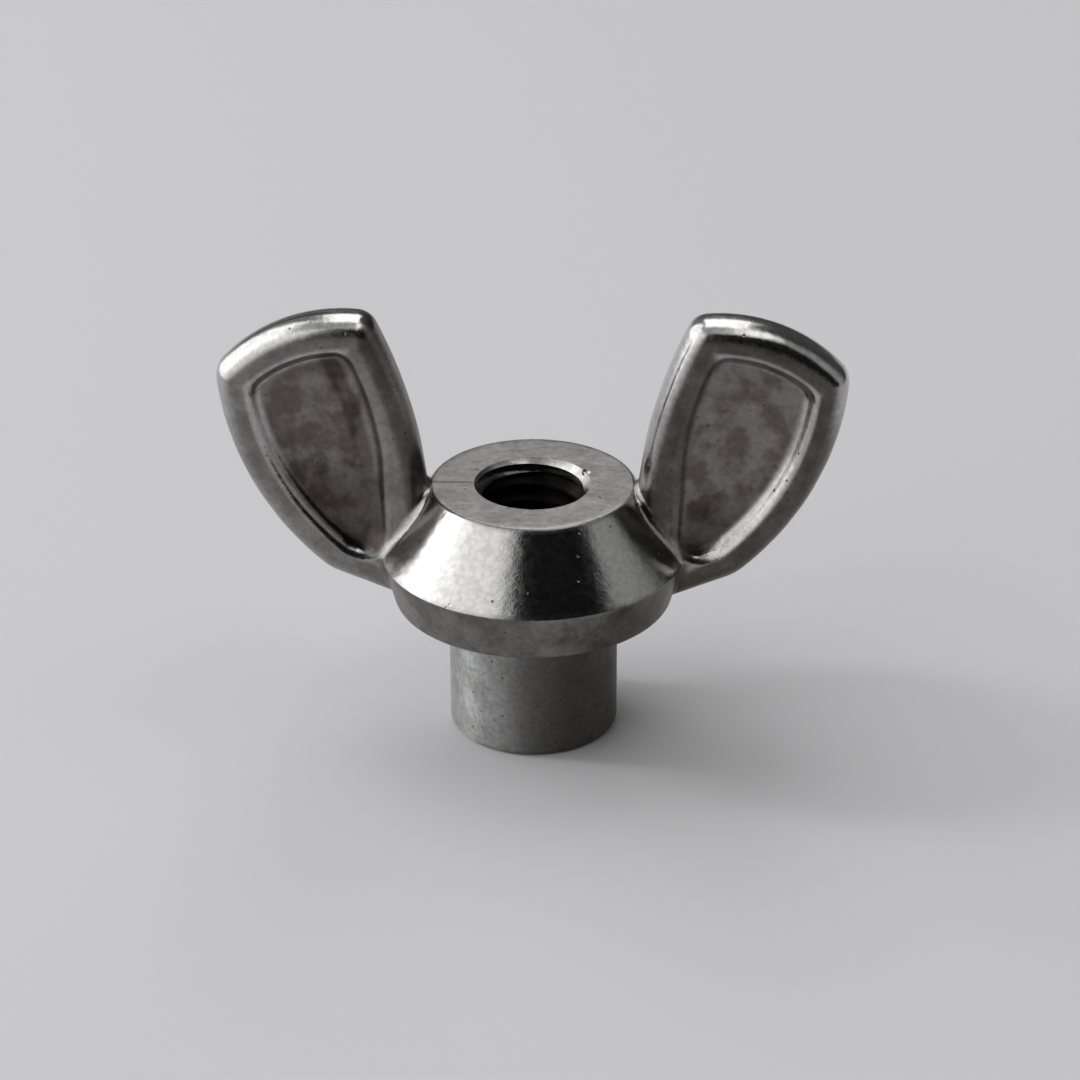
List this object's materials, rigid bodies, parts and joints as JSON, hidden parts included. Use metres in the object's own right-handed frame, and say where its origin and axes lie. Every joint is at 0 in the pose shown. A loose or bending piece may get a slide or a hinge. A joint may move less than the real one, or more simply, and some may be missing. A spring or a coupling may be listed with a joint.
{
  "type": "wing nut",
  "caption": "Wing nut with a waisted cast hub, recessed upswept wings and a threaded steel bush that stands out below as a plain round neck.",
  "frame": {"origin": "centre of the bush's foot face, on the axis of the thread", "axes": "+Z along the thread, from the foot to the wings; the wings lie along X"},
  "size_m": [0.042, 0.0206, 0.0304],
  "materials": {
    "zinc_casting": "die-cast zinc, rumbled and part polished",
    "turned_steel": "turned steel, dull"
  },
  "bodies": {
    "root": {"wing_casting": "zinc_casting", "threaded_bush": "turned_steel"}
  },
  "joints": []
}
